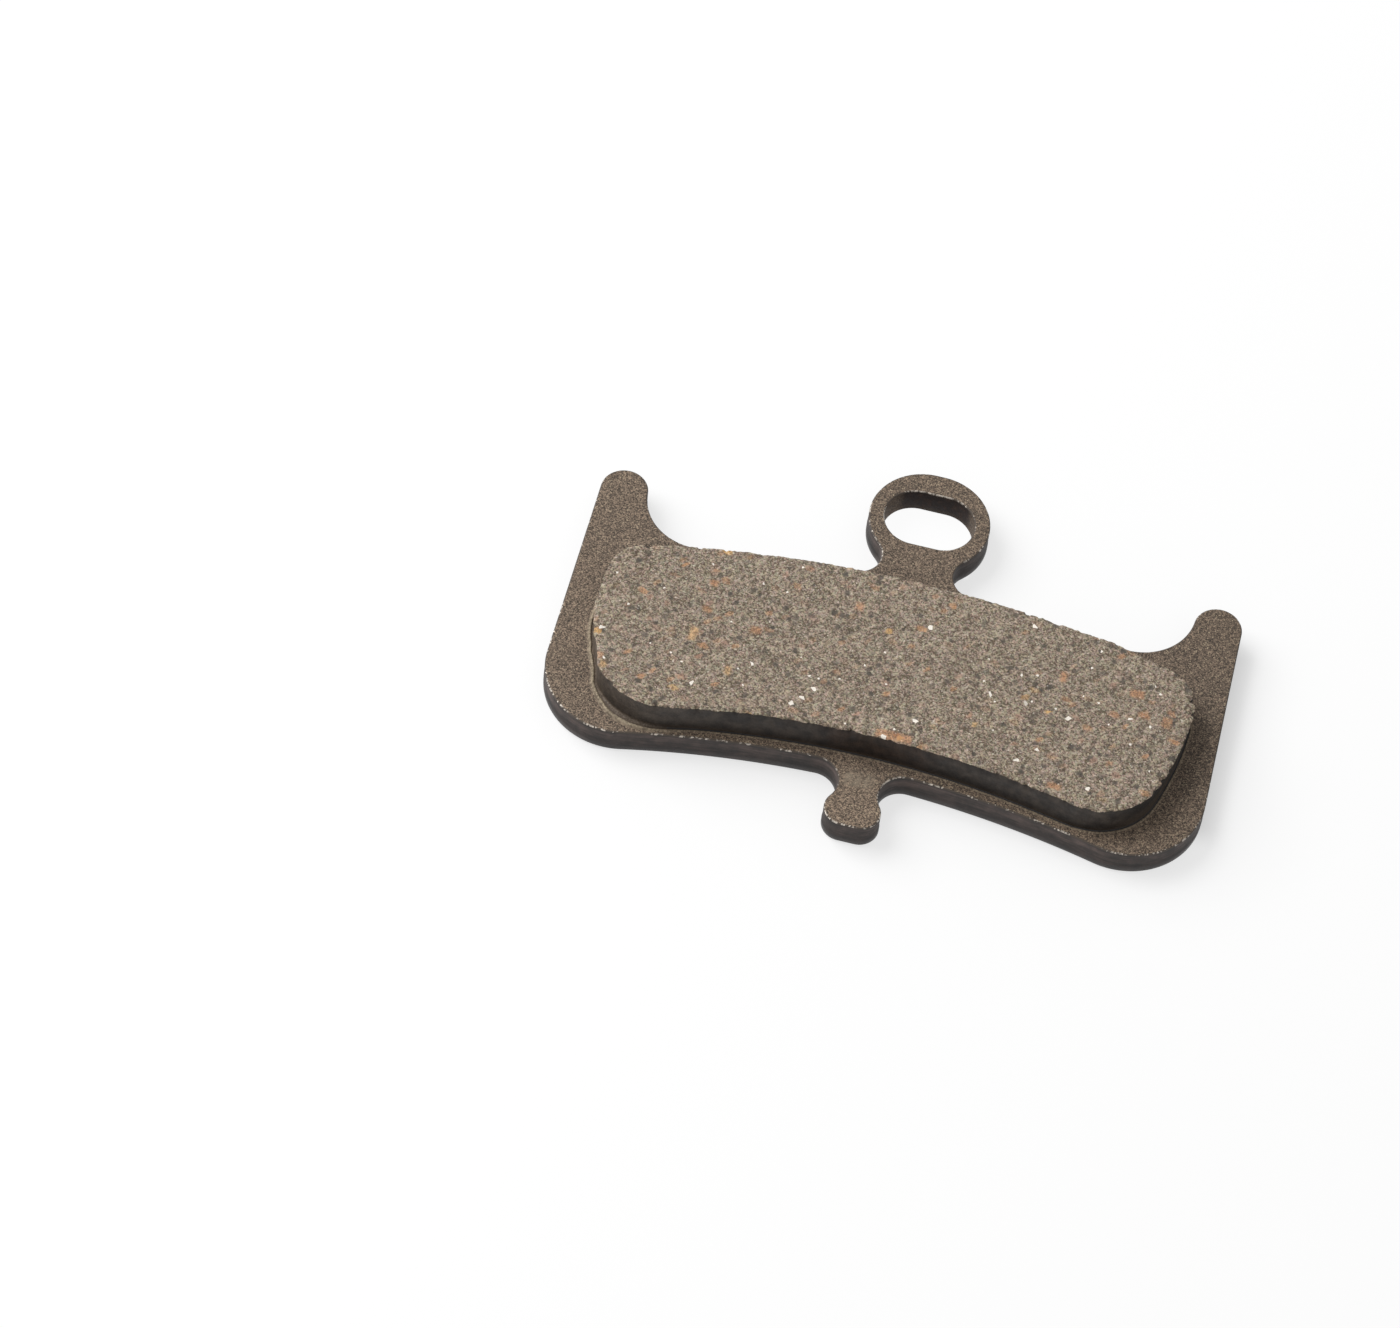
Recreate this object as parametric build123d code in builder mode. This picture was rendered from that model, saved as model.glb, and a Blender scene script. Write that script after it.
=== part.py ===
"""Bicycle disc brake pad: a fine-blanked steel backing plate and the friction lining moulded onto it.

Millimetres. The pad lies on its back: z = 0 is the back face that the pistons push, +Z is the friction side.
The origin is the middle of the retaining pin's slot, +Y runs from the plate up to that eye, and the pad is
symmetric about x = 0.
"""

import os
from math import radians, sqrt, tan

from build123d import *

# Steel sheet, with the wide shallow edge that blanking rolls over at the back
plate_thickness = 2.0
roll_width = 0.6
roll_depth = 0.15
slot_edge_break = 0.2

# Body of the plate: upright sides between a crowned upper edge and a hollow lower edge
plate_width = 43.0
plate_depth = 14.9
crown_radius = 79.0
sole_radius = 67.5
lower_corner_radius = 5.0

# Slotted eye for the retaining pin, on a short waisted neck
slot_length = 6.0
slot_width = 4.3
eye_wall = 1.65
eye_stretch = 0.5
neck_width = 4.9
neck_radius = 1.5

# Ears at the upper corners, which hang on the calliper's ledges
ear_tip_radius = 1.6
ear_rise = 2.0
ear_foot_radius = 3.8

# Mushroom tab under the lower edge, which the calliper's floor guides
tab_neck_width = 2.7
tab_overhang = 0.5
tab_tip_radius = 1.3
tab_neck_radius = 1.6

# Friction lining, an arched band with leaning ends, held back from the plate's edges
lining_thickness = 2.2
lining_crown_margin = 1.5
lining_crown_radius = 75.0
lining_sole_margin = 0.87
lining_sole_radius = 60.0
lining_end_margin = 2.2
lining_end_lean = 10.5
lining_upper_corner_radius = 3.2
lining_lower_corner_radius = 4.7

# Moulding flash round the lining's foot
flash_width = 0.5
flash_thickness = 0.12

# Key holes that the lining is moulded through, and how far its plugs end below the back face
key_diameter = 4.8
key_crown_distance = 4.4
key_sole_distance = 3.0
key_side_distance = 7.5
plug_recess = 0.1


def beside(start, start_reach, end, end_reach, side):
    """Point at the given distances from two others, left (+1) or right (-1) of the way from start to end."""
    way = end - start
    along = (way.length**2 + start_reach**2 - end_reach**2) / (2 * way.length)
    across = sqrt(start_reach**2 - along**2)
    forward = way.normalized()
    left = Vector(-forward.Y, forward.X)
    return start + forward * along + left * (side * across)


def toward(start, end, distance):
    """Point at a distance from start on the line to end."""
    return start + (end - start).normalized() * distance


half_width = plate_width / 2

# The eye's ring has round ends a little apart; the neck's hollow sides touch the ring and the crown
eye_end = Vector(eye_stretch / 2, 0)
eye_end_radius = slot_width / 2 + eye_wall
eye_end_wall = eye_end.X + eye_end_radius - slot_length / 2
neck_x = neck_width / 2 + neck_radius
neck_y = -sqrt((eye_end_radius + neck_radius) ** 2 - (neck_x - eye_end.X) ** 2)
neck_centre = Vector(neck_x, neck_y)
crown_centre = Vector(0, neck_y - sqrt((crown_radius + neck_radius) ** 2 - neck_x**2))
crown_y = crown_centre.Y + crown_radius
sole_y = crown_y - plate_depth
sole_centre = Vector(0, sole_y - sole_radius)
middle_y = (crown_y + sole_y) / 2

# Each ear's round tip runs into a hollow foot that touches the crown
ear_centre = Vector(half_width - ear_tip_radius, crown_y + ear_rise)
foot_centre = beside(
    crown_centre, crown_radius + ear_foot_radius, ear_centre, ear_tip_radius + ear_foot_radius, 1
)

# Lower corner, tangent to the side and to the sole
corner_x = half_width - lower_corner_radius
corner_y = sole_centre.Y + sqrt((sole_radius + lower_corner_radius) ** 2 - corner_x**2)
corner_centre = Vector(corner_x, corner_y)

# The tab's hollow neck touches the sole and the tab's round head
tab_neck_x = tab_neck_width / 2 + tab_neck_radius
tab_neck_y = sole_centre.Y + sqrt((sole_radius - tab_neck_radius) ** 2 - tab_neck_x**2)
tab_neck_centre = Vector(tab_neck_x, tab_neck_y)
tab_tip_x = tab_neck_width / 2 + tab_overhang - tab_tip_radius
tab_reach = tab_neck_radius + tab_tip_radius
tab_tip_centre = Vector(tab_tip_x, tab_neck_y - sqrt(tab_reach**2 - (tab_reach - tab_overhang) ** 2))
tab_bottom_y = tab_tip_centre.Y - tab_tip_radius

# Points where the arcs of the right half meet, from the eye's top round to the tab's foot
eye_top = eye_end + Vector(0, eye_end_radius)
eye_side = eye_end + Vector(eye_end_radius, 0)
neck_start = toward(eye_end, neck_centre, eye_end_radius)
neck_end = toward(crown_centre, neck_centre, crown_radius)
foot_start = toward(crown_centre, foot_centre, crown_radius)
foot_end = toward(ear_centre, foot_centre, ear_tip_radius)
ear_top = ear_centre + Vector(0, ear_tip_radius)
side_top = Vector(half_width, ear_centre.Y)
side_bottom = Vector(half_width, corner_y)
corner_end = toward(sole_centre, corner_centre, sole_radius)
tab_start = toward(sole_centre, tab_neck_centre, sole_radius)
tab_neck_end = toward(tab_tip_centre, tab_neck_centre, tab_tip_radius)
tab_side = tab_tip_centre + Vector(tab_tip_radius, 0)
tab_foot = Vector(tab_tip_x, tab_bottom_y)

key_places = [
    (0, crown_y - key_crown_distance),
    (half_width - key_side_distance, sole_y + key_sole_distance),
    (key_side_distance - half_width, sole_y + key_sole_distance),
]

with BuildSketch() as plate_outline:
    with BuildLine():
        Line((0, eye_end_radius), eye_top)
        ThreePointArc(eye_top, eye_side, neck_start)
        RadiusArc(neck_start, neck_end, -neck_radius)
        RadiusArc(neck_end, foot_start, crown_radius)
        RadiusArc(foot_start, foot_end, -ear_foot_radius)
        ThreePointArc(foot_end, ear_top, side_top)
        Line(side_top, side_bottom)
        RadiusArc(side_bottom, corner_end, lower_corner_radius)
        RadiusArc(corner_end, tab_start, -sole_radius)
        RadiusArc(tab_start, tab_neck_end, -tab_neck_radius)
        ThreePointArc(tab_neck_end, tab_side, tab_foot)
        Line(tab_foot, (0, tab_bottom_y))
        mirror(about=Plane.YZ)
    make_face()
    SlotOverall(slot_length, slot_width, mode=Mode.SUBTRACT)

with BuildPart() as backing_plate:
    add(plate_outline.sketch)
    extrude(amount=plate_thickness)
    back = backing_plate.faces().sort_by(Axis.Z)[0]
    slot_edge = back.inner_wires()[0].edges()
    # The roll stays clear of the slot's broken edge where the eye's wall is thinnest
    roll_room = eye_end_wall - 2 * slot_edge_break
    chamfer(back.outer_wire().edges(), min(roll_width, roll_room), roll_depth, reference=back)
    chamfer(slot_edge, slot_edge_break)
    with BuildSketch():
        with Locations(*key_places):
            Circle(key_diameter / 2)
    extrude(amount=plate_thickness, mode=Mode.SUBTRACT)

lining_crown_y = crown_y - lining_crown_margin
lining_sole_y = sole_y + lining_sole_margin
lining_half_width = half_width - lining_end_margin
lean_reach = plate_depth * tan(radians(lining_end_lean))

with BuildSketch(Plane.XY.offset(plate_thickness)) as lining_outline:
    with Locations((0, lining_crown_y - lining_crown_radius)):
        Circle(lining_crown_radius)
    Polygon(
        (lining_half_width + lean_reach, middle_y + plate_depth),
        (-lining_half_width - lean_reach, middle_y + plate_depth),
        (lean_reach - lining_half_width, middle_y - plate_depth),
        (lining_half_width - lean_reach, middle_y - plate_depth),
        align=None,
        mode=Mode.INTERSECT,
    )
    with Locations((0, lining_sole_y - lining_sole_radius)):
        Circle(lining_sole_radius, mode=Mode.SUBTRACT)
    fillet(lining_outline.vertices().sort_by(Axis.Y)[-2:], lining_upper_corner_radius)
    fillet(lining_outline.vertices().sort_by(Axis.Y)[:2], lining_lower_corner_radius)

with BuildPart() as friction_lining:
    add(lining_outline.sketch)
    extrude(amount=lining_thickness)
    with BuildSketch(Plane.XY.offset(plate_thickness)):
        add(lining_outline.sketch)
        offset(amount=flash_width)
    extrude(amount=flash_thickness)
    with BuildSketch(Plane.XY.offset(plug_recess)):
        with Locations(*key_places):
            Circle(key_diameter / 2)
    extrude(amount=plate_thickness - plug_recess)

os.makedirs("parts", exist_ok=True)
backing_plate.part.label = "backing_plate"
export_step(backing_plate.part, "parts/backing_plate.step")
friction_lining.part.label = "friction_lining"
export_step(friction_lining.part, "parts/friction_lining.step")
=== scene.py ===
from math import ceil, cos, pi, radians, sin, sqrt

import bmesh
import bpy
from mathutils import Matrix, Vector, kdtree, noise
from mathutils.geometry import intersect_line_sphere_2d, intersect_sphere_sphere_2d


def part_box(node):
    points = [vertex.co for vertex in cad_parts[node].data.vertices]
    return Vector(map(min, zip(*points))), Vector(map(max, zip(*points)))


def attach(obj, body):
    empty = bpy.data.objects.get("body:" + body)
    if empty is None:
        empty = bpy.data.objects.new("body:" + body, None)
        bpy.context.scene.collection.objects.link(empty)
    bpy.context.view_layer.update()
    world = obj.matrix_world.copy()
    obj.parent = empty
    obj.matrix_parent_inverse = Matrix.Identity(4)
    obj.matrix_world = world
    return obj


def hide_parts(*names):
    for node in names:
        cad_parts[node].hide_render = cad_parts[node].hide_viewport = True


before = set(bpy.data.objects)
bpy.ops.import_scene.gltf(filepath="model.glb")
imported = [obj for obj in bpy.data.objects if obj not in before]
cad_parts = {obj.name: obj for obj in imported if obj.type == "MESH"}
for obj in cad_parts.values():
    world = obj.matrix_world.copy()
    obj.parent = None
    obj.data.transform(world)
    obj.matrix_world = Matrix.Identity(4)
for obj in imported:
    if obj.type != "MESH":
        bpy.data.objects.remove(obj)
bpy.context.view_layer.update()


# Backing plate: fine-blanked steel sheet with a slotted eye, two ears and a mushroom tab, coated black.
# Its friction side is blasted back to brown grainy metal, with bright nicks along the rim. Blanking left
# its wall torn above a smooth sheared band, and rolled the edge over at the back.
mm = 0.001
plate_low, plate_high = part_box("backing_plate")
half_width = plate_high.x
plate_top = plate_high.z
plate_depth = 14.9 * mm
rim_pitch = 0.16 * mm
rim_break = 0.08 * mm
flat_margin = 0.08 * mm
sheared_height = 0.66 * mm
ledge_height = 0.05 * mm
torn_lean = 0.03 * mm
torn_wave = 0.12 * mm
torn_wavelength = 3.0 * mm
roll_width = 0.6 * mm
roll_depth = 0.15 * mm
slot_edge_break = 0.2 * mm
roll_steps = 6
slot_edge_steps = 3
level_cosine = 0.99
crease_angle = radians(40)

eye_end = Vector((0.25 * mm, 0))
eye_radius = plate_high.y
slot_length = 6.0 * mm
slot_radius = 2.15 * mm
neck_half_width = 2.45 * mm
neck_radius = 1.5 * mm
crown_radius = 79.0 * mm
ear_radius = 1.6 * mm
ear_rise = 2.0 * mm
ear_foot_radius = 3.8 * mm
corner_radius = 5.0 * mm
sole_radius = 67.5 * mm
tab_neck_half_width = 1.35 * mm
tab_neck_radius = 1.6 * mm
tab_overhang = 0.5 * mm
tab_radius = 1.3 * mm

key_radius = 2.4 * mm
key_crown_distance = 4.4 * mm
key_sole_distance = 3.0 * mm
key_side_distance = 7.5 * mm


def toward(start, end, distance):
    """Point at a distance from start on the line to end."""
    return start + (end - start).normalized() * distance


def draw_half(outline, z, start, runs):
    """Draws half an outline and mirrors it. Each run has its end and, if it is an arc, the arc's centre."""
    tip = outline.verts.new((start.x, start.y, z))
    for end, centre in runs:
        here = tip.co.xy
        if centre is None:
            steps = ceil((end - here).length / rim_pitch)
            course = {"cent": tip.co, "angle": 0, "dvec": ((end - here) / steps).to_3d()}
        else:
            turn = (end - centre).angle_signed(here - centre)
            steps = ceil(abs(turn) * (here - centre).length / rim_pitch)
            course = {"cent": centre.to_3d(), "angle": turn}
        swept = bmesh.ops.spin(outline, geom=[tip], axis=(0, 0, 1), steps=steps, **course)
        tip = swept["geom_last"][0]
        tip.co.xy = end
    half = outline.verts[:] + outline.edges[:]
    bmesh.ops.mirror(outline, geom=half, axis="X", merge_dist=rim_pitch / 100)


def ring(mesh, centre, z, radius, stretch=0):
    """A round hole's edge, or with a stretch that of a slot with round ends."""
    count = 2 * ceil(pi * radius / rim_pitch)
    place = Matrix.Translation((centre[0], centre[1], z)) @ Matrix.Rotation(pi / count, 4, "Z")
    verts = bmesh.ops.create_circle(mesh, segments=count, radius=radius, matrix=place)["verts"]
    for vert in verts:
        vert.co.x += stretch if vert.co.x > centre[0] else -stretch
    return list({edge for vert in verts for edge in vert.link_edges})


def grow(mesh, loop):
    """Extrudes a closed loop of edges where it stands, and gives the new loop and its vertices."""
    grown = bmesh.ops.extrude_edge_only(mesh, edges=loop)["geom"]
    verts = {part for part in grown if isinstance(part, bmesh.types.BMVert)}
    edges = [part for part in grown if isinstance(part, bmesh.types.BMEdge)]
    return [edge for edge in edges if verts.issuperset(edge.verts)], verts


def drop(mesh, loop, depth):
    """Extrudes a closed loop of edges straight down into a wall, and gives the wall's lower loop."""
    loop, verts = grow(mesh, loop)
    bmesh.ops.translate(mesh, vec=(0, 0, -depth), verts=list(verts))
    return loop


def skirt(mesh, loop, floor, profile, sway=None):
    """Extrudes a closed loop step by step. Each step has its reach out from the loop and its height over
    the floor, and a sway changes both from place to place. Gives the last loop and each step's faces."""
    bmesh.ops.recalc_face_normals(mesh, faces=mesh.faces[:])
    mesh.normal_update()
    roots = {vert: (vert.co.xy, vert.normal.xy.normalized()) for edge in loop for vert in edge.verts}
    strips = []
    for reach, height in profile:
        loop, verts = grow(mesh, loop)
        grown = {}
        for vert in verts:
            start, out = next(roots[end] for edge in vert.link_edges for end in edge.verts if end in roots)
            out_by, up_by = sway(start, reach, height) if sway else (reach, height)
            vert.co.xy = start + out * out_by
            vert.co.z = floor + up_by
            grown[vert] = (start, out)
        roots = grown
        strips.append({face for edge in loop for face in edge.link_faces})
    return loop, strips


def rolled_edge(width, depth, steps):
    """Steps of a skirt that rolls a wall over into the flat back, and runs a little way along it."""
    turns = [pi / 2 * step / steps for step in range(1, steps + 1)]
    rolled = [(width * (cos(turn) - 1), depth * (1 - sin(turn))) for turn in turns]
    return rolled + [(-width - flat_margin, 0)]


def make_piece(name, mesh, finishes, node):
    """Turns a finished bmesh into a smooth piece that rides on the part and stands for a CAD node."""
    bmesh.ops.recalc_face_normals(mesh, faces=mesh.faces[:])
    data = bpy.data.meshes.new(name)
    mesh.to_mesh(data)
    mesh.free()
    data.polygons.foreach_set("use_smooth", [True] * len(data.polygons))
    data.set_sharp_from_angle(angle=crease_angle)
    for finish in finishes:
        data.materials.append(finish)
    piece = bpy.data.objects.new(name, data)
    bpy.context.scene.collection.objects.link(piece)
    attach(piece, "root")
    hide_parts(node)


# Arcs that touch each other all the way round the right half, from the eye's top to the tab's foot
neck_x = neck_half_width + neck_radius
neck_centre = Vector((neck_x, -sqrt((eye_radius + neck_radius) ** 2 - (neck_x - eye_end.x) ** 2)))
crown_centre = Vector((0, neck_centre.y - sqrt((crown_radius + neck_radius) ** 2 - neck_x**2)))
crown_y = crown_centre.y + crown_radius
sole_y = crown_y - plate_depth
sole_centre = Vector((0, sole_y - sole_radius))
ear_centre = Vector((half_width - ear_radius, crown_y + ear_rise))
foot_centre = min(
    intersect_sphere_sphere_2d(
        crown_centre, crown_radius + ear_foot_radius, ear_centre, ear_radius + ear_foot_radius
    ),
    key=lambda point: point.x,
)
corner_x = half_width - corner_radius
corner_centre = Vector((corner_x, sole_centre.y + sqrt((sole_radius + corner_radius) ** 2 - corner_x**2)))
tab_neck_x = tab_neck_half_width + tab_neck_radius
tab_neck_centre = Vector(
    (tab_neck_x, sole_centre.y + sqrt((sole_radius - tab_neck_radius) ** 2 - tab_neck_x**2))
)
tab_centre = Vector((tab_neck_half_width + tab_overhang - tab_radius, plate_low.y + tab_radius))

plate = bmesh.new()
draw_half(
    plate,
    plate_top,
    Vector((0, eye_radius)),
    [
        (eye_end + Vector((0, eye_radius)), None),
        (toward(eye_end, neck_centre, eye_radius), eye_end),
        (toward(crown_centre, neck_centre, crown_radius), neck_centre),
        (toward(crown_centre, foot_centre, crown_radius), crown_centre),
        (toward(ear_centre, foot_centre, ear_radius), foot_centre),
        (Vector((half_width, ear_centre.y)), ear_centre),
        (Vector((half_width, corner_centre.y)), None),
        (toward(sole_centre, corner_centre, sole_radius), corner_centre),
        (toward(sole_centre, tab_neck_centre, sole_radius), sole_centre),
        (toward(tab_centre, tab_neck_centre, tab_radius), tab_neck_centre),
        (Vector((tab_centre.x, plate_low.y)), tab_centre),
        (Vector((0, plate_low.y)), None),
    ],
)
outer_rim = plate.edges[:]
slot_rim = ring(plate, (0, 0), plate_top, slot_radius, slot_length / 2 - slot_radius)
key_places = [
    (0, crown_y - key_crown_distance),
    (half_width - key_side_distance, sole_y + key_sole_distance),
    (key_side_distance - half_width, sole_y + key_sole_distance),
]
key_rims = [ring(plate, place, plate_top, key_radius) for place in key_places]
bmesh.ops.triangle_fill(plate, use_beauty=True, edges=plate.edges[:], normal=(0, 0, 1))
outer_waist = drop(plate, outer_rim, plate_top - sheared_height)
outer_ledge = drop(plate, outer_waist, ledge_height)
outer_foot = drop(plate, outer_ledge, sheared_height - ledge_height - roll_depth)
slot_foot = drop(plate, slot_rim, plate_top - slot_edge_break)
key_feet = [edge for rim in key_rims for edge in drop(plate, rim, plate_top)]
bmesh.ops.recalc_face_normals(plate, faces=plate.faces[:])
plate.normal_update()
for vert in {vert for edge in outer_rim + outer_waist for vert in edge.verts}:
    vert.co -= vert.normal.xy.normalized().to_3d() * torn_lean
for vert in {vert for edge in outer_waist + outer_ledge for vert in edge.verts}:
    vert.co.z += torn_wave * noise.noise(vert.co.xy.to_3d() / torn_wavelength)
outer_foot, _ = skirt(plate, outer_foot, 0, rolled_edge(roll_width, roll_depth, roll_steps))
slot_foot, _ = skirt(plate, slot_foot, 0, rolled_edge(slot_edge_break, slot_edge_break, slot_edge_steps))
bmesh.ops.triangle_fill(plate, use_beauty=True, edges=outer_foot + slot_foot + key_feet, normal=(0, 0, -1))
nicked = bmesh.ops.bevel(
    plate,
    geom=outer_rim + slot_rim,
    offset=rim_break,
    segments=2,
    profile=0.5,
    affect="EDGES",
    material=-1,
)["faces"]
coat_index, face_index, rim_index, slot_index = range(4)
slot_reach_x = slot_length / 2 + slot_edge_break
slot_reach_y = slot_radius + slot_edge_break
plate.normal_update()
for face in plate.faces:
    middle = face.calc_center_median()
    if face.normal.z > level_cosine:
        face.material_index = face_index
    elif abs(middle.x) < slot_reach_x and abs(middle.y) < slot_reach_y:
        face.material_index = slot_index
    else:
        face.material_index = coat_index
for face in nicked:
    face.material_index = rim_index
top_faces = [face for face in plate.faces if face.material_index == face_index]
bmesh.ops.inset_region(plate, faces=top_faces, thickness=flat_margin, use_boundary=True)


class Wire:
    """An output in a material's node tree. Arithmetic on wires adds Math nodes."""

    def __init__(self, socket):
        self.socket = socket

    def node(self, kind, sockets, output=0, **settings):
        """Adds any node: its settings first, then its sockets' values or wires. Gives one output."""
        tree = self.socket.id_data
        node = tree.nodes.new(kind)
        for name, value in settings.items():
            setattr(node, name, value)
        for name, value in sockets.items():
            if isinstance(value, Wire):
                tree.links.new(value.socket, node.inputs[name])
            else:
                node.inputs[name].default_value = value
        return None if output is None else Wire(node.outputs[output])

    def math(self, operation, first, second):
        """A Math node on two numbers or wires."""
        return self.node("ShaderNodeMath", {0: first, 1: second}, operation=operation)

    def __add__(self, other):
        return self.math("ADD", self, other)

    def __sub__(self, other):
        return self.math("SUBTRACT", self, other)

    def __rsub__(self, other):
        return self.math("SUBTRACT", other, self)

    def __mul__(self, other):
        return self.math("MULTIPLY", self, other)

    def __truediv__(self, other):
        return self.math("DIVIDE", self, other)

    __radd__ = __add__
    __rmul__ = __mul__

    def clouds(self, size, detail=2.0):
        """Soft noise from 0 to 1 with features of about this size."""
        return self.node("ShaderNodeTexNoise", {"Vector": self, "Scale": 1 / size, "Detail": detail})

    def grains(self, size, output="Color"):
        """Irregular grains of about this size, as seen from above: a random colour each, or the distance
        from a grain's middle, where 1 is the grains' size."""
        return self.node(
            "ShaderNodeTexVoronoi",
            {"Vector": self, "Scale": 1 / size},
            output=output,
            voronoi_dimensions="2D",
        )

    def bent(self, size, reach):
        """These coordinates, swayed by up to about half of reach in waves of this size."""
        sway = self.node(
            "ShaderNodeTexNoise", {"Vector": self, "Scale": 1 / size, "Detail": 2.0}, output="Color"
        )
        return self.node(
            "ShaderNodeVectorMath", {0: sway, 1: (reach, reach, reach), 2: self}, operation="MULTIPLY_ADD"
        )

    def between(self, low, high):
        """0 below low, 1 above high, and smooth between them."""
        return self.node(
            "ShaderNodeMapRange",
            {"Value": self, "From Min": low, "From Max": high},
            interpolation_type="SMOOTHSTEP",
        )

    def blend(self, first, second):
        """Mixes two colours, by this wire as the second one's share."""
        return self.node(
            "ShaderNodeMix", {0: self, 6: first, 7: second}, output=2, data_type="RGBA", clamp_factor=True
        )

    def shade(self, colour):
        """A colour times this wire."""
        return self.node(
            "ShaderNodeMix", {0: 1.0, 6: colour, 7: self}, output=2, data_type="RGBA", blend_type="MULTIPLY"
        )

    def channel(self, name):
        """One even random number from 0 to 1, Red, Green or Blue, out of the colour that each grain has."""
        return self.node("ShaderNodeSeparateColor", {"Color": self}, output=name)

    def axis(self, name):
        """The X, Y or Z of these coordinates."""
        return self.node("ShaderNodeSeparateXYZ", {"Vector": self}, output=name)

    def stretched(self, scale):
        """These coordinates with each axis scaled, for a pattern that runs long one way."""
        return self.node("ShaderNodeMapping", {"Vector": self, "Scale": scale})

    def turned(self, angle, stretch):
        """These coordinates for a pattern that runs long in one direction, at an angle from X."""
        return self.node(
            "ShaderNodeMapping",
            {"Vector": self, "Rotation": (0, 0, angle), "Scale": (stretch, 1, 1)},
            vector_type="TEXTURE",
        )

    def patch(self, low, high, soft):
        """1 within a box seen from above, from its low to its high corner, fading over a soft border."""
        within = []
        for name, start, end in zip("XY", low, high):
            along = self.axis(name)
            within.append(along.between(start - soft, start) * (1 - along.between(end, end + soft)))
        return within[0] * within[1]


def new_finish(name):
    """A new material: itself, its shader, and the object's own coordinates as a wire."""
    finish = bpy.data.materials.new(name)
    finish.use_nodes = True
    shader = finish.node_tree.nodes["Principled BSDF"]
    coordinates = finish.node_tree.nodes.new("ShaderNodeTexCoord")
    return finish, shader, Wire(coordinates.outputs["Object"])


def plug_in(shader, **wires):
    """Links wires to a shader's sockets, named with _ for a space."""
    for name, wire in wires.items():
        shader.id_data.links.new(wire.socket, shader.inputs[name.replace("_", " ")])


def bump(height, depth):
    """A surface normal from a height of 0 to 1 that stands for this depth."""
    return height.node("ShaderNodeBump", {"Height": height, "Distance": depth, "Strength": 1.0})


# Black coat of the edges and the back: satin, with a fine orange peel and a mottled haze. On the wall it is
# dragged along in streaks, and dullest where the torn metal starts above the sheared band
back_black = (0.032, 0.029, 0.029, 1)
wall_black = (0.044, 0.031, 0.027, 1)
black_coat, shader, place = new_finish("black_coat")
height = place.axis("Z")
peel = place.clouds(0.28 * mm, 3.0)
haze = place.clouds(1.1 * mm, 4.0)
drag = place.stretched((0.3, 0.3, 2.5)).clouds(0.45 * mm, 4.0)
ragged = height + drag * (0.2 * mm)
on_wall = height.between(0.0, roll_depth)
torn = ragged.between(sheared_height + 0.06 * mm, sheared_height + 0.14 * mm)
climb = height.between(sheared_height + 0.1 * mm, plate_top - 0.4 * mm)
under_rim = ragged.between(plate_top - 0.2 * mm, plate_top)
level = (0.45 + 1.1 * haze.between(0.25, 0.75)) * (0.55 + 0.9 * drag.between(0.25, 0.75))
level = level * (0.6 + torn * (0.1 + 0.65 * climb) - 0.4 * under_rim)
plug_in(
    shader,
    Base_Color=level.shade(on_wall.blend(back_black, wall_black)),
    Roughness=0.3 + 0.15 * peel + 0.15 * haze + 0.12 * torn,
    Normal=bump(peel * 0.35 + haze * 0.35 + drag * 0.3, 0.05 * mm),
)

# Slot's wall, where the coat is thin, dull and rubbed. Blasting has bared its two ends, and its foot is
# faintly paler, partly the blanking's fracture band and partly painted light from the paper below
thin_black = (0.018, 0.01, 0.008, 1)
rubbed_brown = (0.06, 0.036, 0.027, 1)
steel_shade = (0.07, 0.05, 0.035, 1)
steel_light = (0.23, 0.17, 0.12, 1)
slot_wall, shader, place = new_finish("slot_wall")
along = place.axis("X")
rubbed = place.clouds(0.4 * mm, 4.0)
coat = rubbed.between(0.4, 0.8).blend(thin_black, rubbed_brown)
steel = place.clouds(0.1 * mm, 1.0).between(0.25, 0.75).blend(steel_shade, steel_light)
left_end = 1 - along.between(-2.5 * mm, -1.9 * mm)
right_end = along.between(2.2 * mm, 2.7 * mm)
# Painted light: the paler foot stands partly for light thrown up from the paper
foot_light = 1 - (place.axis("Z") + rubbed * (0.4 * mm)).between(0.5 * mm, 0.8 * mm)
bared_and_foot_light = left_end + 0.7 * right_end + 0.25 * foot_light
plug_in(
    shader,
    Base_Color=(bared_and_foot_light * 0.85).blend(coat, steel),
    Roughness=0.55 + 0.25 * rubbed,
    Normal=bump(rubbed, 0.04 * mm),
)
shader.inputs["Specular IOR Level"].default_value = 0.3

# Blasted friction side: dark olive-brown metal with a fine grain and a painted sparkle of pale dots.
# Painted shade darkens it at the right end and round the eye, painted light makes it paler on the tab,
# and it is smeared just above the tab
olive_steel = (0.17, 0.123, 0.086, 1)
painted_sparkle_gold = (0.46, 0.37, 0.25, 1)
smear_tan = (0.29, 0.235, 0.168, 1)
blasted_face, shader, place = new_finish("blasted_face")
grit = place.grains(0.085 * mm).channel("Red")
sparks = place.grains(0.06 * mm).channel("Red")
patches = place.clouds(2.5 * mm, 3.0)
# Painted shade at the right end and round the eye, painted light on the tab
right_end = place.axis("X").between(10.0 * mm, 18.0 * mm) * place.axis("Y").between(-20.0 * mm, -14.0 * mm)
eye_shade = place.patch((-4.5 * mm, -5.0 * mm), (4.5 * mm, 4.0 * mm), 1.5 * mm)
tab_light = place.patch((-2.2 * mm, -25.0 * mm), (2.2 * mm, -21.5 * mm), 0.8 * mm)
level = (0.45 + 1.1 * grit) * (0.3 + 1.4 * sparks) * (0.85 + 0.3 * patches)
level = level * (1 - 0.15 * right_end - 0.06 * eye_shade + 0.15 * tab_light)
colour = level.shade(olive_steel)
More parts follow.
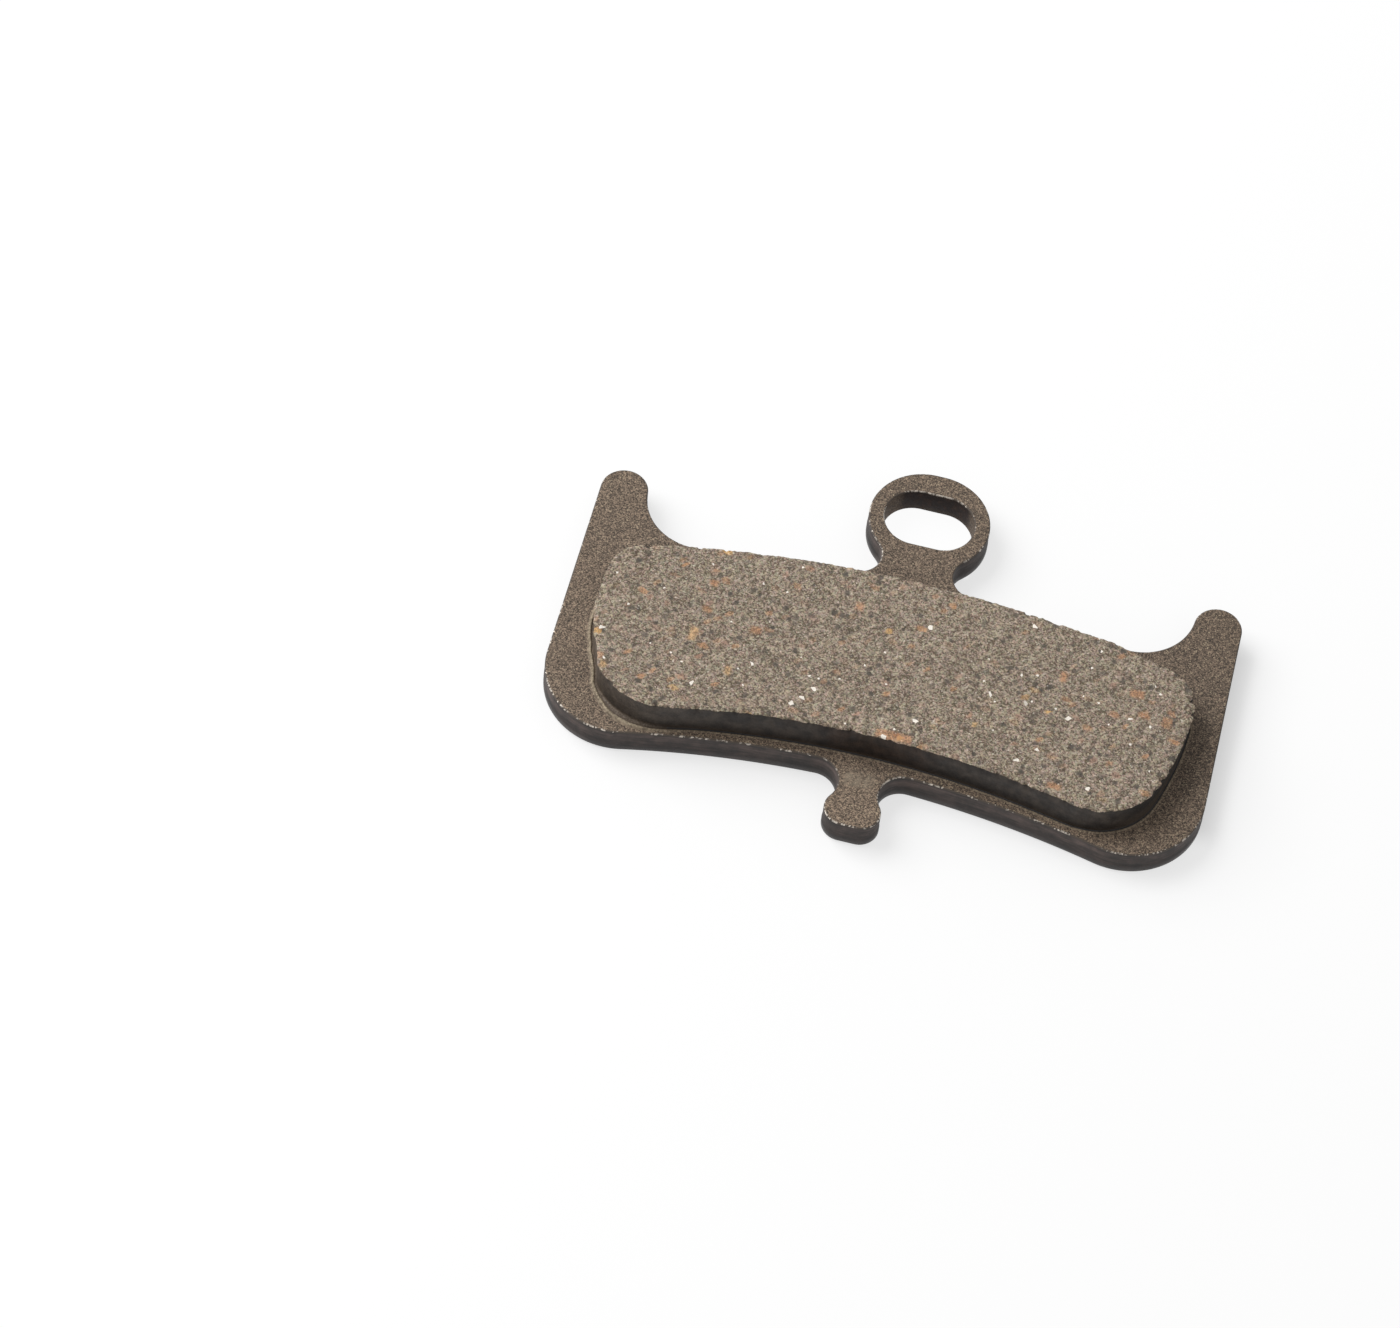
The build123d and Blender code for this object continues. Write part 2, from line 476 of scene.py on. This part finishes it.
# Painted sparkle: a few grains are painted pale gold
colour = (sparks.between(0.95, 0.96) * 0.7).blend(colour, painted_sparkle_gold)
smear = place.patch((-0.8 * mm, -21.4 * mm), (0.6 * mm, -20.8 * mm), 0.5 * mm)
smear = smear * place.clouds(0.5 * mm, 3.0).between(0.3, 0.6)
colour = (smear * 0.65).blend(colour, smear_tan)
plug_in(
    shader,
    Base_Color=colour,
    Roughness=0.8 - 0.3 * sparks,
    Normal=bump(grit * 0.6 + sparks * 0.4, 0.035 * mm),
)

# Nicked rim, where the coat has broken off the sharp edge here and there, and most at the lower left
# corner, along the slot's far side, down the left of the eye and round the tab's tip
worn_brown = (0.075, 0.057, 0.043, 1)
bare_steel = (0.68, 0.61, 0.53, 1)
nicked_rim, shader, place = new_finish("nicked_rim")
corner = place.patch((-22.0 * mm, -21.0 * mm), (-20.5 * mm, -16.0 * mm), 4.5 * mm)
slot_far = place.patch((-2.0 * mm, 1.9 * mm), (2.6 * mm, 2.3 * mm), 0.4 * mm)
eye_left = place.patch((-4.3 * mm, -4.4 * mm), (-2.4 * mm, 0.2 * mm), 0.3 * mm)
tab_tip = place.patch((-2.0 * mm, -25.0 * mm), (1.0 * mm, -23.6 * mm), 0.3 * mm)
front = 1 - place.axis("Y").between(-20.0 * mm, -18.5 * mm)
speck = place.grains(0.12 * mm)
nicks = 0.6 * speck.channel("Red") + place.clouds(1.0 * mm, 2.0)
nicks = nicks + 0.1 * front + 0.1 * corner + 0.35 * slot_far + 0.22 * eye_left + 0.1 * tab_tip
nicks = nicks.between(1.02, 1.06) * (0.3 + 0.7 * speck.channel("Green"))
plug_in(
    shader,
    Base_Color=nicks.blend(worn_brown, bare_steel),
    Roughness=0.65 - 0.2 * nicks,
    Metallic=nicks * 0.6,
)

make_piece(
    "backing_plate_steel",
    plate,
    [black_coat, blasted_face, nicked_rim, slot_wall],
    "backing_plate",
)


# Friction lining: a resin-bonded mix of mineral grains, fibres and metal chips, moulded onto the plate
# and through its three key holes, with a thin lip of flash squeezed out round its foot. Its sides keep
# the black coat, and its face is ground flat, which crumbles the edge.
lining_low, lining_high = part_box("friction_lining")
lining_top = lining_high.z
lining_crown_margin = 1.5 * mm
lining_crown_radius = 75.0 * mm
lining_sole_margin = 0.87 * mm
lining_sole_radius = 60.0 * mm
lining_end_margin = 2.2 * mm
lining_half_width = half_width - lining_end_margin
lining_lean = radians(10.5)
lining_upper_radius = 3.2 * mm
lining_lower_radius = 4.7 * mm
corner_search = 30.0 * mm
grain_pitch = 0.1 * mm
side_rows = 12
hidden_height = 0.01 * mm
flash_foot = 0.3 * mm
flash_ridge = 0.4 * mm
flash_faint_reach = 0.3
flash_faint_height = 0.2
flash_profile = [
    (0.02 * mm, 0.16 * mm),
    (0.06 * mm, 0.06 * mm),
    (0.13 * mm, 0.02 * mm),
    (0.28 * mm, 0.02 * mm),
    (0.4 * mm, 0.03 * mm),
    (0.46 * mm, 0.11 * mm),
    (0.52 * mm, 0.15 * mm),
    (0.62 * mm, 0.15 * mm),
    (0.7 * mm, 0.1 * mm),
    (0.78 * mm, 0.03 * mm),
    (0.88 * mm, 0.0),
]

middle_y = (crown_y + sole_y) / 2
lining_crown_y = crown_y - lining_crown_margin
lining_sole_y = sole_y + lining_sole_margin
lining_crown = Vector((0, lining_crown_y - lining_crown_radius))
lining_sole = Vector((0, lining_sole_y - lining_sole_radius))
end_middle = Vector((lining_half_width, middle_y))
end_up = Vector((sin(lining_lean), cos(lining_lean)))
end_out = Vector((cos(lining_lean), -sin(lining_lean)))


def end_corner(radius, circle, reach):
    """Centre of a round corner that touches the leaning end and one of the lining's long arcs."""
    inner = end_middle - end_out * radius
    half_line = end_up * corner_search
    hits = intersect_line_sphere_2d(inner - half_line, inner + half_line, circle, reach, False)
    return max((hit for hit in hits if hit), key=lambda point: point.y)


upper_corner = end_corner(lining_upper_radius, lining_crown, lining_crown_radius - lining_upper_radius)
lower_corner = end_corner(lining_lower_radius, lining_sole, lining_sole_radius + lining_lower_radius)

lining = bmesh.new()
draw_half(
    lining,
    lining_top,
    Vector((0, lining_crown_y)),
    [
        (toward(lining_crown, upper_corner, lining_crown_radius), lining_crown),
        (upper_corner + end_out * lining_upper_radius, upper_corner),
        (lower_corner + end_out * lining_lower_radius, None),
        (toward(lining_sole, lower_corner, lining_sole_radius), lower_corner),
        (Vector((0, lining_sole_y)), lining_sole),
    ],
)


def outward(vert):
    """Direction out of the lining's outline at one of its vertices."""
    before, after = [edge.other_vert(vert).co.xy for edge in vert.link_edges]
    along = (after - before).normalized()
    out = Vector((along.y, -along.x))
    return out if out.dot(vert.co.xy - Vector((0, middle_y))) > 0 else -out


# The moulding isn't quite even: at these places, each with its reach, its side stands in by this depth or,
# where that is negative, out
uneven_places = [
    (Vector((-19.2 * mm, -11.4 * mm)), 1.9 * mm, 0.33 * mm),
    (Vector((-19.1 * mm, -14.7 * mm)), 1.2 * mm, -0.12 * mm),
    (Vector((-18.3 * mm, -17.5 * mm)), 1.2 * mm, 0.22 * mm),
    (Vector((19.2 * mm, -14.7 * mm)), 2.4 * mm, -0.12 * mm),
    (Vector((16.6 * mm, -19.9 * mm)), 2.6 * mm, -0.1 * mm),
]
true_outline = [(vert, vert.co.xy, outward(vert)) for vert in lining.verts]
for vert, spot, out in true_outline:
    for middle, reach, depth in uneven_places:
        vert.co.xy -= out * depth * max(0.0, 1 - (spot - middle).length_squared / reach**2)
bmesh.ops.contextual_create(lining, geom=lining.edges[:])
for axis, low, high in (
    (Vector((1, 0, 0)), lining_low.x, lining_high.x),
    (Vector((0, 1, 0)), lining_low.y, lining_high.y),
):
    for step in range(1, int((high - low) / grain_pitch)):
        bmesh.ops.bisect_plane(
            lining,
            geom=lining.verts[:] + lining.edges[:] + lining.faces[:],
            dist=grain_pitch / 1000,
            plane_co=axis * (low + step * grain_pitch),
            plane_no=axis,
        )

wall = [edge for edge in lining.edges if edge.is_boundary]
row_height = (lining_top - plate_top - flash_foot) / side_rows
for _ in range(side_rows):
    wall = drop(lining, wall, row_height)


def ramp(value, start, end):
    """0 before start, 1 after end, and straight between them."""
    return min(1.0, max(0.0, (value - start) / (end - start)))


def flash_sway(spot, reach, height):
    """Reach and height of the flash at a place. It is faint all round, but round the lower left corner it
    swells to a ridge, which stands off the wall below the corner and against it up the left end."""
    full = ramp(spot.x, -11.0 * mm, -15.0 * mm) * ramp(spot.y, -12.0 * mm, -14.5 * mm)
    corner = full * ramp(spot.x, -18.0 * mm, -16.2 * mm)
    wander = noise.noise(spot.to_3d() / (3.0 * mm)) + 0.3 * noise.noise(spot.to_3d() / (0.6 * mm))
    surge = noise.noise(spot.to_3d() / (2.0 * mm) + Vector((3, 1, 0)))
    hollow = min(reach, flash_ridge) * (flash_faint_reach - 0.05 * full + 0.65 * corner)
    ridge = max(0.0, reach - flash_ridge) * (flash_faint_reach + 0.35 * full + 0.1 * corner)
    swell = flash_faint_height + (1 - flash_faint_height) * full
    return (hollow + ridge) * (1 + 0.12 * wander), height * swell * (1 + 0.3 * surge)


wall, strips = skirt(lining, wall, plate_top, flash_profile, flash_sway)
key_rims = [ring(lining, place, plate_top, key_radius) for place in key_places]
bmesh.ops.triangle_fill(
    lining, use_beauty=True, edges=wall + [edge for rim in key_rims for edge in rim], normal=(0, 0, -1)
)
for rim in key_rims:
    plug_end = drop(lining, rim, plate_top - lining_low.z)
    bmesh.ops.contextual_create(lining, geom=plug_end)
bmesh.ops.recalc_face_normals(lining, faces=lining.faces[:])

# What lies on the plate or in its key holes, below the hidden height, has the plugs' finish
top_index, side_index, plug_index, flash_index = range(4)
for face in lining.faces:
    middle = face.calc_center_median()
    if middle.z > lining_top - row_height / 4:
        face.material_index = top_index
    elif middle.z > plate_top + hidden_height:
        face.material_index = side_index
    else:
        face.material_index = plug_index
for (reach, _), strip in zip(flash_profile, strips):
    if reach > flash_ridge:
        for face in strip:
            face.material_index = flash_index

# Grinding leaves the face flat with shallow pits, and crumbles and rounds its rim. The rim has lost a grain
# near the upper left corner. It overhangs at both ends and at one place of the crown, and is rubbed back
# along the sole
lost_grain = Vector((-17.1 * mm, -8.5 * mm, 0))
lost_reach = 0.45 * mm
lost_depth = 0.2 * mm
crumbled_height = 1.0 * mm
crumbled_reach = 0.6 * mm
crumbled_depth = 0.45 * mm
rounded_reach = 0.25 * mm
rounded_depth = 0.08 * mm
fine_burr = 0.05 * mm
coarse_burr = 0.06 * mm
rim_rub = 0.04 * mm
sole_rub = 0.1 * mm
crown_stand = 0.05 * mm
overhang = 0.1 * mm
bulge_x = 13.0 * mm
bulge_reach = 1.6 * mm
ground_depth = 0.03 * mm
fine_pit = 0.04 * mm
coarse_pit = 0.06 * mm
rim = [
    vert
    for vert in lining.verts
    if {top_index, side_index} <= {face.material_index for face in vert.link_faces}
]
rim_tree = kdtree.KDTree(len(rim))
for index, vert in enumerate(rim):
    rim_tree.insert(vert.co, index)
rim_tree.balance()
lining.normal_update()
rim_out = [vert.normal.xy.normalized().to_3d() for vert in rim]
for vert in lining.verts:
    if vert.co.z < lining_top - crumbled_height:
        continue
    spot = vert.co.xy.to_3d()
    on_face = vert.co.z > lining_top - row_height / 2
    near, index, gap = rim_tree.find(vert.co)
    near.z = 0
    crown = ramp(near.y, -13.0 * mm, -10.0 * mm) * ramp(abs(near.x), 17.0 * mm, 15.0 * mm)
    sole_middle = ramp(near.x, -13.0 * mm, -6.0 * mm) * ramp(near.x, 15.0 * mm, 12.0 * mm)
    ends = ramp(near.x, -17.0 * mm, -18.5 * mm) + ramp(near.x, 16.8 * mm, 18.4 * mm)
    bulge = crown * max(0.0, 1 - ((near.x - bulge_x) / bulge_reach) ** 2)
    hole = max(0.0, 1 - (near - lost_grain).length_squared / lost_reach**2)
    broken = crumbled_depth * max(0.0, noise.noise(near / (0.5 * mm)) - 0.2)
    broken *= (1 - 0.6 * crown) * (1 - hole)
    burr = fine_burr * noise.noise(near / (0.2 * mm) + Vector((5, 0, 2)))
    burr += coarse_burr * noise.noise(near / (0.7 * mm))
    rubbed = (rim_rub + sole_rub * sole_middle) * (1 - crown) - crown_stand * crown
    fade = max(0.0, 1 - gap / crumbled_reach)
    rounded = max(0.0, 1 - gap / rounded_reach) ** 2
    vert.co -= rim_out[index] * (broken + burr + rubbed - overhang * (ends + bulge)) * fade
    vert.co.z -= (0.7 * broken + lost_depth * hole) * fade + rounded_depth * rounded
    if on_face:
        fine = noise.noise(spot / (0.2 * mm))
        coarse = noise.noise(spot / (0.5 * mm) + Vector((7, 3, 1)))
        vert.co.z -= max(0.0, ground_depth + fine_pit * fine + coarse_pit * coarse)

# Ground friction face: pale and dark mineral grains in a tan binder, dusty copper chips and a few bright
# shards painted near white as glints, a little more frequent to the right
binder_shade = (0.118, 0.088, 0.06, 1)
binder_light = (0.51, 0.418, 0.318, 1)
warm_tint = (1.06, 1.0, 0.96, 1)
cool_tint = (0.94, 1.0, 1.04, 1)
pink_tint = (1.03, 0.935, 1.03, 1)
green_tint = (0.97, 1.065, 0.97, 1)
dark_mineral = (0.066, 0.058, 0.05, 1)
shadow_and_fleck_black = (0.035, 0.026, 0.019, 1)
dusty_copper = (0.45, 0.26, 0.19, 1)
clean_copper = (0.62, 0.3, 0.13, 1)
clean_brass = (0.8, 0.45, 0.14, 1)
glint_white = (0.97, 0.9, 0.8, 1)
fleck_size = 0.45 * mm

# The biggest chips, each with its middle, half its length and breadth, and its metal
copper_red = (0.6, 0.28, 0.13, 1)
brass_gold = (0.72, 0.43, 0.19, 1)
chip_sway = 0.3 * mm
chip_border = 0.3 * mm
big_chips = [
    (1.4 * mm, -18.75 * mm, 1.0 * mm, 0.15 * mm, copper_red),
    (-12.6 * mm, -14.65 * mm, 0.1 * mm, 0.35 * mm, brass_gold),
    (-9.8 * mm, -16.8 * mm, 0.05 * mm, 0.2 * mm, brass_gold),
    (-12.2 * mm, -10.45 * mm, 0.1 * mm, 0.1 * mm, copper_red),
    (-2.8 * mm, -9.6 * mm, 0.1 * mm, 0.15 * mm, copper_red),
    (-8.8 * mm, -13.3 * mm, 0.2 * mm, 0.1 * mm, copper_red),
    (-17.5 * mm, -18.5 * mm, 0.05 * mm, 0.1 * mm, brass_gold),
    (10.9 * mm, -11.3 * mm, 0.05 * mm, 0.25 * mm, copper_red),
    (15.7 * mm, -11.3 * mm, 0.3 * mm, 0.15 * mm, copper_red),
    (16.4 * mm, -12.8 * mm, 0.2 * mm, 0.05 * mm, copper_red),
    (11.9 * mm, -19.6 * mm, 0.3 * mm, 0.05 * mm, copper_red),
]
friction_face, shader, place = new_finish("friction_face")
powder = place.grains(0.075 * mm).channel("Red")
grain = place.grains(0.12 * mm)
grain_level = grain.channel("Red")
pebble = place.bent(0.1 * mm, 0.12 * mm).grains(0.26 * mm).channel("Red")
lumps = place.clouds(0.7 * mm, 3.0)
broad = place.clouds(2.0 * mm, 2.0)
salt = grain_level.between(0.92, 1.0)
pepper = 1 - grain_level.between(0.0, 0.08)
level = 0.92 * powder + 0.42 * grain_level + 0.24 * pebble + 0.5 * lumps + 0.3 * broad - 0.8
level = level + 0.42 * salt - 0.36 * pepper
colour = level.blend(binder_shade, binder_light)
warmth = grain.channel("Green").blend(warm_tint, cool_tint)
greenness = grain.channel("Blue").blend(pink_tint, green_tint)
colour = greenness.shade(warmth.shade(colour))
fleck_place = place.bent(0.15 * mm, 0.28 * mm)
fleck = fleck_place.grains(fleck_size)
fleck_body = fleck_place.grains(fleck_size, "Distance") / (0.4 + 0.9 * fleck.channel("Blue"))
fleck_body = 1 - fleck_body.between(0.25, 0.6)
dark = fleck.channel("Red").between(0.79, 0.81) * fleck_body * (0.3 + 0.7 * fleck.channel("Green"))
colour = (dark * (0.6 + 0.4 * powder)).blend(colour, dark_mineral)
# Painted shadow: the pit where the rim lost a grain near the upper left corner is painted near black, with a
# dark fleck just beside it
pit_shadow_and_fleck = place.patch((-17.25 * mm, -8.8 * mm), (-16.95 * mm, -8.55 * mm), 0.12 * mm)
pit_shadow_and_fleck = pit_shadow_and_fleck + 0.7 * place.patch((-17.0 * mm, -9.5 * mm), (-16.75 * mm, -9.2 * mm), 0.2 * mm)
colour = (pit_shadow_and_fleck * 0.9).blend(colour, shadow_and_fleck_black)
for chip_size, lay in ((0.65 * mm, radians(-15)), (0.5 * mm, radians(40))):
    chip_place = place.bent(0.25 * mm, 0.32 * mm).turned(lay, 1.6)
    chip = chip_place.grains(chip_size)
    strength = chip.channel("Blue")
    chip_body = 1 - chip_place.grains(chip_size, "Distance").between(0.2, 0.5)
    share = chip.channel("Red").between(0.89, 0.895) * chip_body
    share = share * (0.25 + 0.75 * powder) * (0.18 + 0.6 * strength * strength)
    metal = chip.channel("Green").between(0.2, 0.6).blend(dusty_copper, clean_copper)
    metal = chip.channel("Green").between(0.93, 0.94).blend(metal, clean_brass)
    colour = share.blend(colour, metal)
chip_place = place.bent(0.2 * mm, chip_sway)
for x, y, half_length, half_breadth, metal in big_chips:
    chip_middle = Vector((x + chip_sway / 2, y + chip_sway / 2))
    chip_reach = Vector((half_length, half_breadth))
    share = chip_place.patch(chip_middle - chip_reach, chip_middle + chip_reach, chip_border)
    share = share * (0.1 + 0.5 * powder + 0.25 * grain_level)
    colour = share.blend(colour, metal)
# Painted glints: bright shards and a few tiny powder grains are painted near white
shard_glints = place.grains(0.28 * mm).channel("Red") + 0.001 * place.axis("X").between(-8.0 * mm, 2.0 * mm)
shard_glints = shard_glints.between(0.997, 0.9975)
shard_glints = shard_glints + place.grains(0.13 * mm).channel("Blue").between(0.9985, 0.999)
colour = (shard_glints + powder.between(0.99, 0.992) * 0.3).blend(colour, glint_white)
plug_in(
    shader,
    Base_Color=colour,
    Roughness=0.85 - 0.35 * shard_glints,
    Normal=bump(0.4 * grain_level + 0.4 * pebble + 0.2 * powder - 0.3 * dark, 0.06 * mm),
)

# Sides: black coat, warmer at the middle of the sole, with a painted shade that darkens it towards the foot.
# Painted shadow darkens the right end, whose foot goes dark brown, partly dust and partly painted shade.
# Brown dust of the mix lies round the left end, and the bare mix shows where the face's edge has crumbled
mix_shade = (0.085, 0.064, 0.046, 1)
mix_light = (0.3, 0.23, 0.168, 1)
coat_shade = (0.0155, 0.0107, 0.0083, 1)
coat_light = (0.056, 0.042, 0.032, 1)
plain_tint = (1.0, 1.0, 1.0, 1)
rusty_tint = (0.8, 0.62, 0.52, 1)
rust_brown = (0.12, 0.062, 0.018, 1)
dust_and_shade_brown = (0.07, 0.051, 0.037, 1)
lining_side, shader, place = new_finish("lining_side")
along = place.axis("X")
height = place.axis("Z")
ragged = place.clouds(0.3 * mm, 3.0)
streak = place.clouds(0.5 * mm, 4.0)
mix = place.clouds(0.1 * mm, 1.0).between(0.2, 0.8).blend(mix_shade, mix_light)
coat = place.clouds(0.8 * mm, 4.0).between(0.3, 0.75).blend(coat_shade, coat_light)
# Painted shade: darker towards the foot
coat = (0.5 + 0.5 * height.between(plate_top, plate_top + 1.2 * mm)).shade(coat)
warm = place.patch((-2.0 * mm, -22.0 * mm), (3.0 * mm, -18.0 * mm), 2.0 * mm)
coat = warm.blend(plain_tint, rusty_tint).shade(coat)
rusty = 1 - (height + ragged * (0.2 * mm)).between(plate_top + 0.15 * mm, plate_top + 0.45 * mm)
coat = (rusty * 0.14).blend(coat, rust_brown)
# Painted shadow: the right end is darker
shaded_right_end = along.between(15.0 * mm, 17.5 * mm)
coat = (1 - 0.5 * shaded_right_end).shade(coat)
# The right end's foot goes dark brown, partly dust and partly painted shade
foot_dust_and_shade = 1 - (height + ragged * (0.3 * mm)).between(plate_top + 0.4 * mm, plate_top + 1.5 * mm)
coat = (foot_dust_and_shade * shaded_right_end * 0.8).blend(coat, dust_and_shade_brown)
left = 1 - (along + ragged * (1.0 * mm)).between(-18.2 * mm, -16.2 * mm)
hazy = 1 - along.between(-17.0 * mm, -8.0 * mm)
hollow = 1 - (along + ragged * (2.0 * mm)).between(-14.0 * mm, -11.0 * mm)
hollow = hollow * (1 - (height + ragged * (0.1 * mm)).between(plate_top + 0.08 * mm, plate_top + 0.25 * mm))
colour = (hollow * 0.35 + left * 0.3 + hazy * 0.16).blend(coat, mix)
bare = (height + ragged * (0.3 * mm)).between(lining_top + 0.03 * mm, lining_top + 0.09 * mm)
colour = bare.blend(colour, mix)
plug_in(
    shader,
    Base_Color=colour,
    Roughness=0.45 + 0.4 * streak,
    Normal=bump(streak, 0.09 * mm),
)

# Flash, blasted to the plate's olive brown, with a painted highlight that makes it palest along its crest
slope_shade = (0.12, 0.09, 0.062, 1)
slope_light = (0.3, 0.232, 0.16, 1)
crest_highlight_dark = (0.17, 0.135, 0.092, 1)
crest_highlight_pale = (0.42, 0.34, 0.235, 1)
flash_edge, shader, place = new_finish("flash_edge")
grit = place.grains(0.09 * mm).channel("Red")
# Painted highlight along the crest
crest_highlight = place.axis("Z").between(plate_top + 0.05 * mm, plate_top + 0.13 * mm)
slope = grit.blend(slope_shade, slope_light)
crest_highlight_colour = grit.blend(crest_highlight_dark, crest_highlight_pale)
plug_in(
    shader,
    Base_Color=crest_highlight.blend(slope, crest_highlight_colour),
    Roughness=0.85 - 0.2 * grit,
    Normal=bump(grit, 0.03 * mm),
)

# Plug ends in the key holes, coated but left rough
plug_shade = (0.02, 0.02, 0.02, 1)
plug_light = (0.05, 0.047, 0.047, 1)
plug_finish, shader, place = new_finish("plug_end")
rough = place.clouds(0.15 * mm, 3.0)
plug_in(
    shader,
    Base_Color=rough.blend(plug_shade, plug_light),
    Roughness=0.5 + 0.3 * rough,
    Normal=bump(rough, 0.06 * mm),
)

make_piece(
    "friction_lining_block",
    lining,
    [friction_face, lining_side, plug_finish, flash_edge],
    "friction_lining",
)


# Paper: the pad lies on a plain white sheet, set a hair lower so that the two don't share a plane. The sheet
# glows by itself, with painted light that makes it glow most where it shows through the eye and painted
# shadow that makes it glow least close beside the plate's right side
paper_reach = 0.6
paper_drop = 0.02 * mm
paper_white = (0.97, 0.97, 0.97, 1)
glow_share = 0.68
eye_light_share = 0.27
side_shadow_share = 0.2
paper = bmesh.new()
bmesh.ops.create_grid(
    paper, x_segments=1, y_segments=1, size=paper_reach, matrix=Matrix.Translation((0, 0, -paper_drop))
)
paper_mesh = bpy.data.meshes.new("paper")
paper.to_mesh(paper_mesh)
paper.free()
paper_sheet = bpy.data.objects.new("paper", paper_mesh)
bpy.context.scene.collection.objects.link(paper_sheet)
white_paper = bpy.data.materials.new("white_paper")
white_paper.use_nodes = True
tree = white_paper.node_tree
tree.nodes.clear()
path = tree.nodes.new("ShaderNodeLightPath")
coordinates = tree.nodes.new("ShaderNodeTexCoord")
place = Wire(coordinates.outputs["Object"])
# Painted light within the eye and painted shadow beside the plate's right side
eye_light_patch = place.patch((-slot_length / 2, -slot_radius), (slot_length / 2, slot_radius), 0.5 * mm)
side_shadow_patch = place.patch((20.0 * mm, -17.0 * mm), (half_width, -4.0 * mm), 2.0 * mm)
share = glow_share + eye_light_share * eye_light_patch - side_shadow_share * side_shadow_patch
seen = Wire(path.outputs["Is Camera Ray"]) + Wire(path.outputs["Is Glossy Ray"])
seen = seen + Wire(path.outputs["Is Transmission Ray"])
sheet = seen.node("ShaderNodeBsdfDiffuse", {"Color": paper_white})
glow = seen.node("ShaderNodeEmission", {"Strength": 1.0})
mixed = seen.node("ShaderNodeMixShader", {0: seen * share, 1: sheet, 2: glow})
mixed.node("ShaderNodeOutputMaterial", {"Surface": mixed}, output=None)
paper_mesh.materials.append(white_paper)

# Light: a bright room all round and a wide soft box from the left
pad_middle = Vector((0, -10.0 * mm, 0))
world = bpy.data.worlds.new("studio")
bpy.context.scene.world = world
world.use_nodes = True
world.node_tree.nodes["Background"].inputs["Color"].default_value = (1, 1, 1, 1)
world.node_tree.nodes["Background"].inputs["Strength"].default_value = 0.45
lamp = bpy.data.lights.new("soft_box", "AREA")
lamp.shape = "RECTANGLE"
lamp.size = 0.4
lamp.size_y = 0.4
lamp.energy = 2.7
soft_box = bpy.data.objects.new("soft_box", lamp)
soft_box.location = (-0.36, 0.1, 0.34)
soft_box.rotation_euler = (pad_middle - soft_box.location).to_track_quat("-Z", "Y").to_euler()
bpy.context.scene.collection.objects.link(soft_box)

# Camera of the photograph
view = bpy.data.cameras.new("camera")
view.lens = 110.23
view.sensor_width = 36.0
view.clip_start = 0.01
camera = bpy.data.objects.new("camera", view)
camera.location = (0.010858, -0.169266, 0.2275)
camera.rotation_euler = (radians(34.432), radians(-3.681), radians(13.73))
bpy.context.scene.collection.objects.link(camera)
bpy.context.scene.camera = camera

bpy.context.scene.view_settings.view_transform = "Standard"
